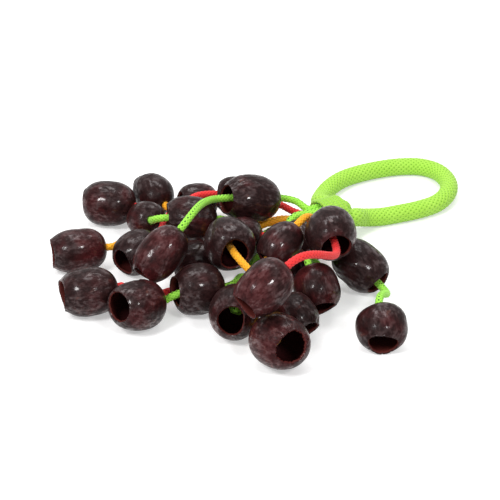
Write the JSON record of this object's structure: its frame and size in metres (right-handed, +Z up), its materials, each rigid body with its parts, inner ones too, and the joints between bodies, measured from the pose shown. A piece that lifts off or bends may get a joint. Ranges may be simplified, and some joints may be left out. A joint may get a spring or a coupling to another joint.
{
  "type": "seed cluster shaker",
  "caption": "Hand shaker of hollow dark nut shells threaded in pairs on bright braided cords that hang from one rope loop handle, laid down at rest.",
  "frame": {"origin": "centre of the laid-down cluster, on the surface that it rests on", "axes": "+Z up, +X towards the handle's side and +Y away from the viewer of the picture"},
  "size_m": [0.2076, 0.2042, 0.0495],
  "materials": {
    "nut_shell": "polished dark shell",
    "braid_green": "braided",
    "braid_yellow": "braided",
    "braid_red": "braided",
    "handle_braid": "knitted"
  },
  "bodies": {
    "root": {"upper_nut_01": "nut_shell", "end_nut_01": "nut_shell", "upper_nut_02": "nut_shell", "end_nut_02": "nut_shell", "upper_nut_03": "nut_shell", "end_nut_03": "nut_shell", "upper_nut_04": "nut_shell", "end_nut_04": "nut_shell", "upper_nut_05": "nut_shell", "end_nut_05": "nut_shell", "upper_nut_06": "nut_shell", "end_nut_06": "nut_shell", "upper_nut_07": "nut_shell", "end_nut_07": "nut_shell", "upper_nut_08": "nut_shell", "end_nut_08": "nut_shell", "upper_nut_09": "nut_shell", "end_nut_09": "nut_shell", "upper_nut_10": "nut_shell", "end_nut_10": "nut_shell", "upper_nut_11": "nut_shell", "end_nut_11": "nut_shell", "upper_nut_12": "nut_shell", "end_nut_12": "nut_shell", "upper_nut_13": "nut_shell", "end_nut_13": "nut_shell", "upper_nut_14": "nut_shell", "end_nut_14": "nut_shell", "cord_01_green": "braid_green", "cord_02_green": "braid_green", "cord_03_green": "braid_green", "cord_04_green": "braid_green", "cord_05_green": "braid_green", "cord_06_green": "braid_green", "cord_07_yellow": "braid_yellow", "cord_08_yellow": "braid_yellow", "cord_09_yellow": "braid_yellow", "cord_10_yellow": "braid_yellow", "cord_11_red": "braid_red", "cord_12_red": "braid_red", "cord_13_red": "braid_red", "cord_14_red": "braid_red", "handle_loop": "handle_braid", "neck_binding": "braid_green"}
  },
  "joints": []
}
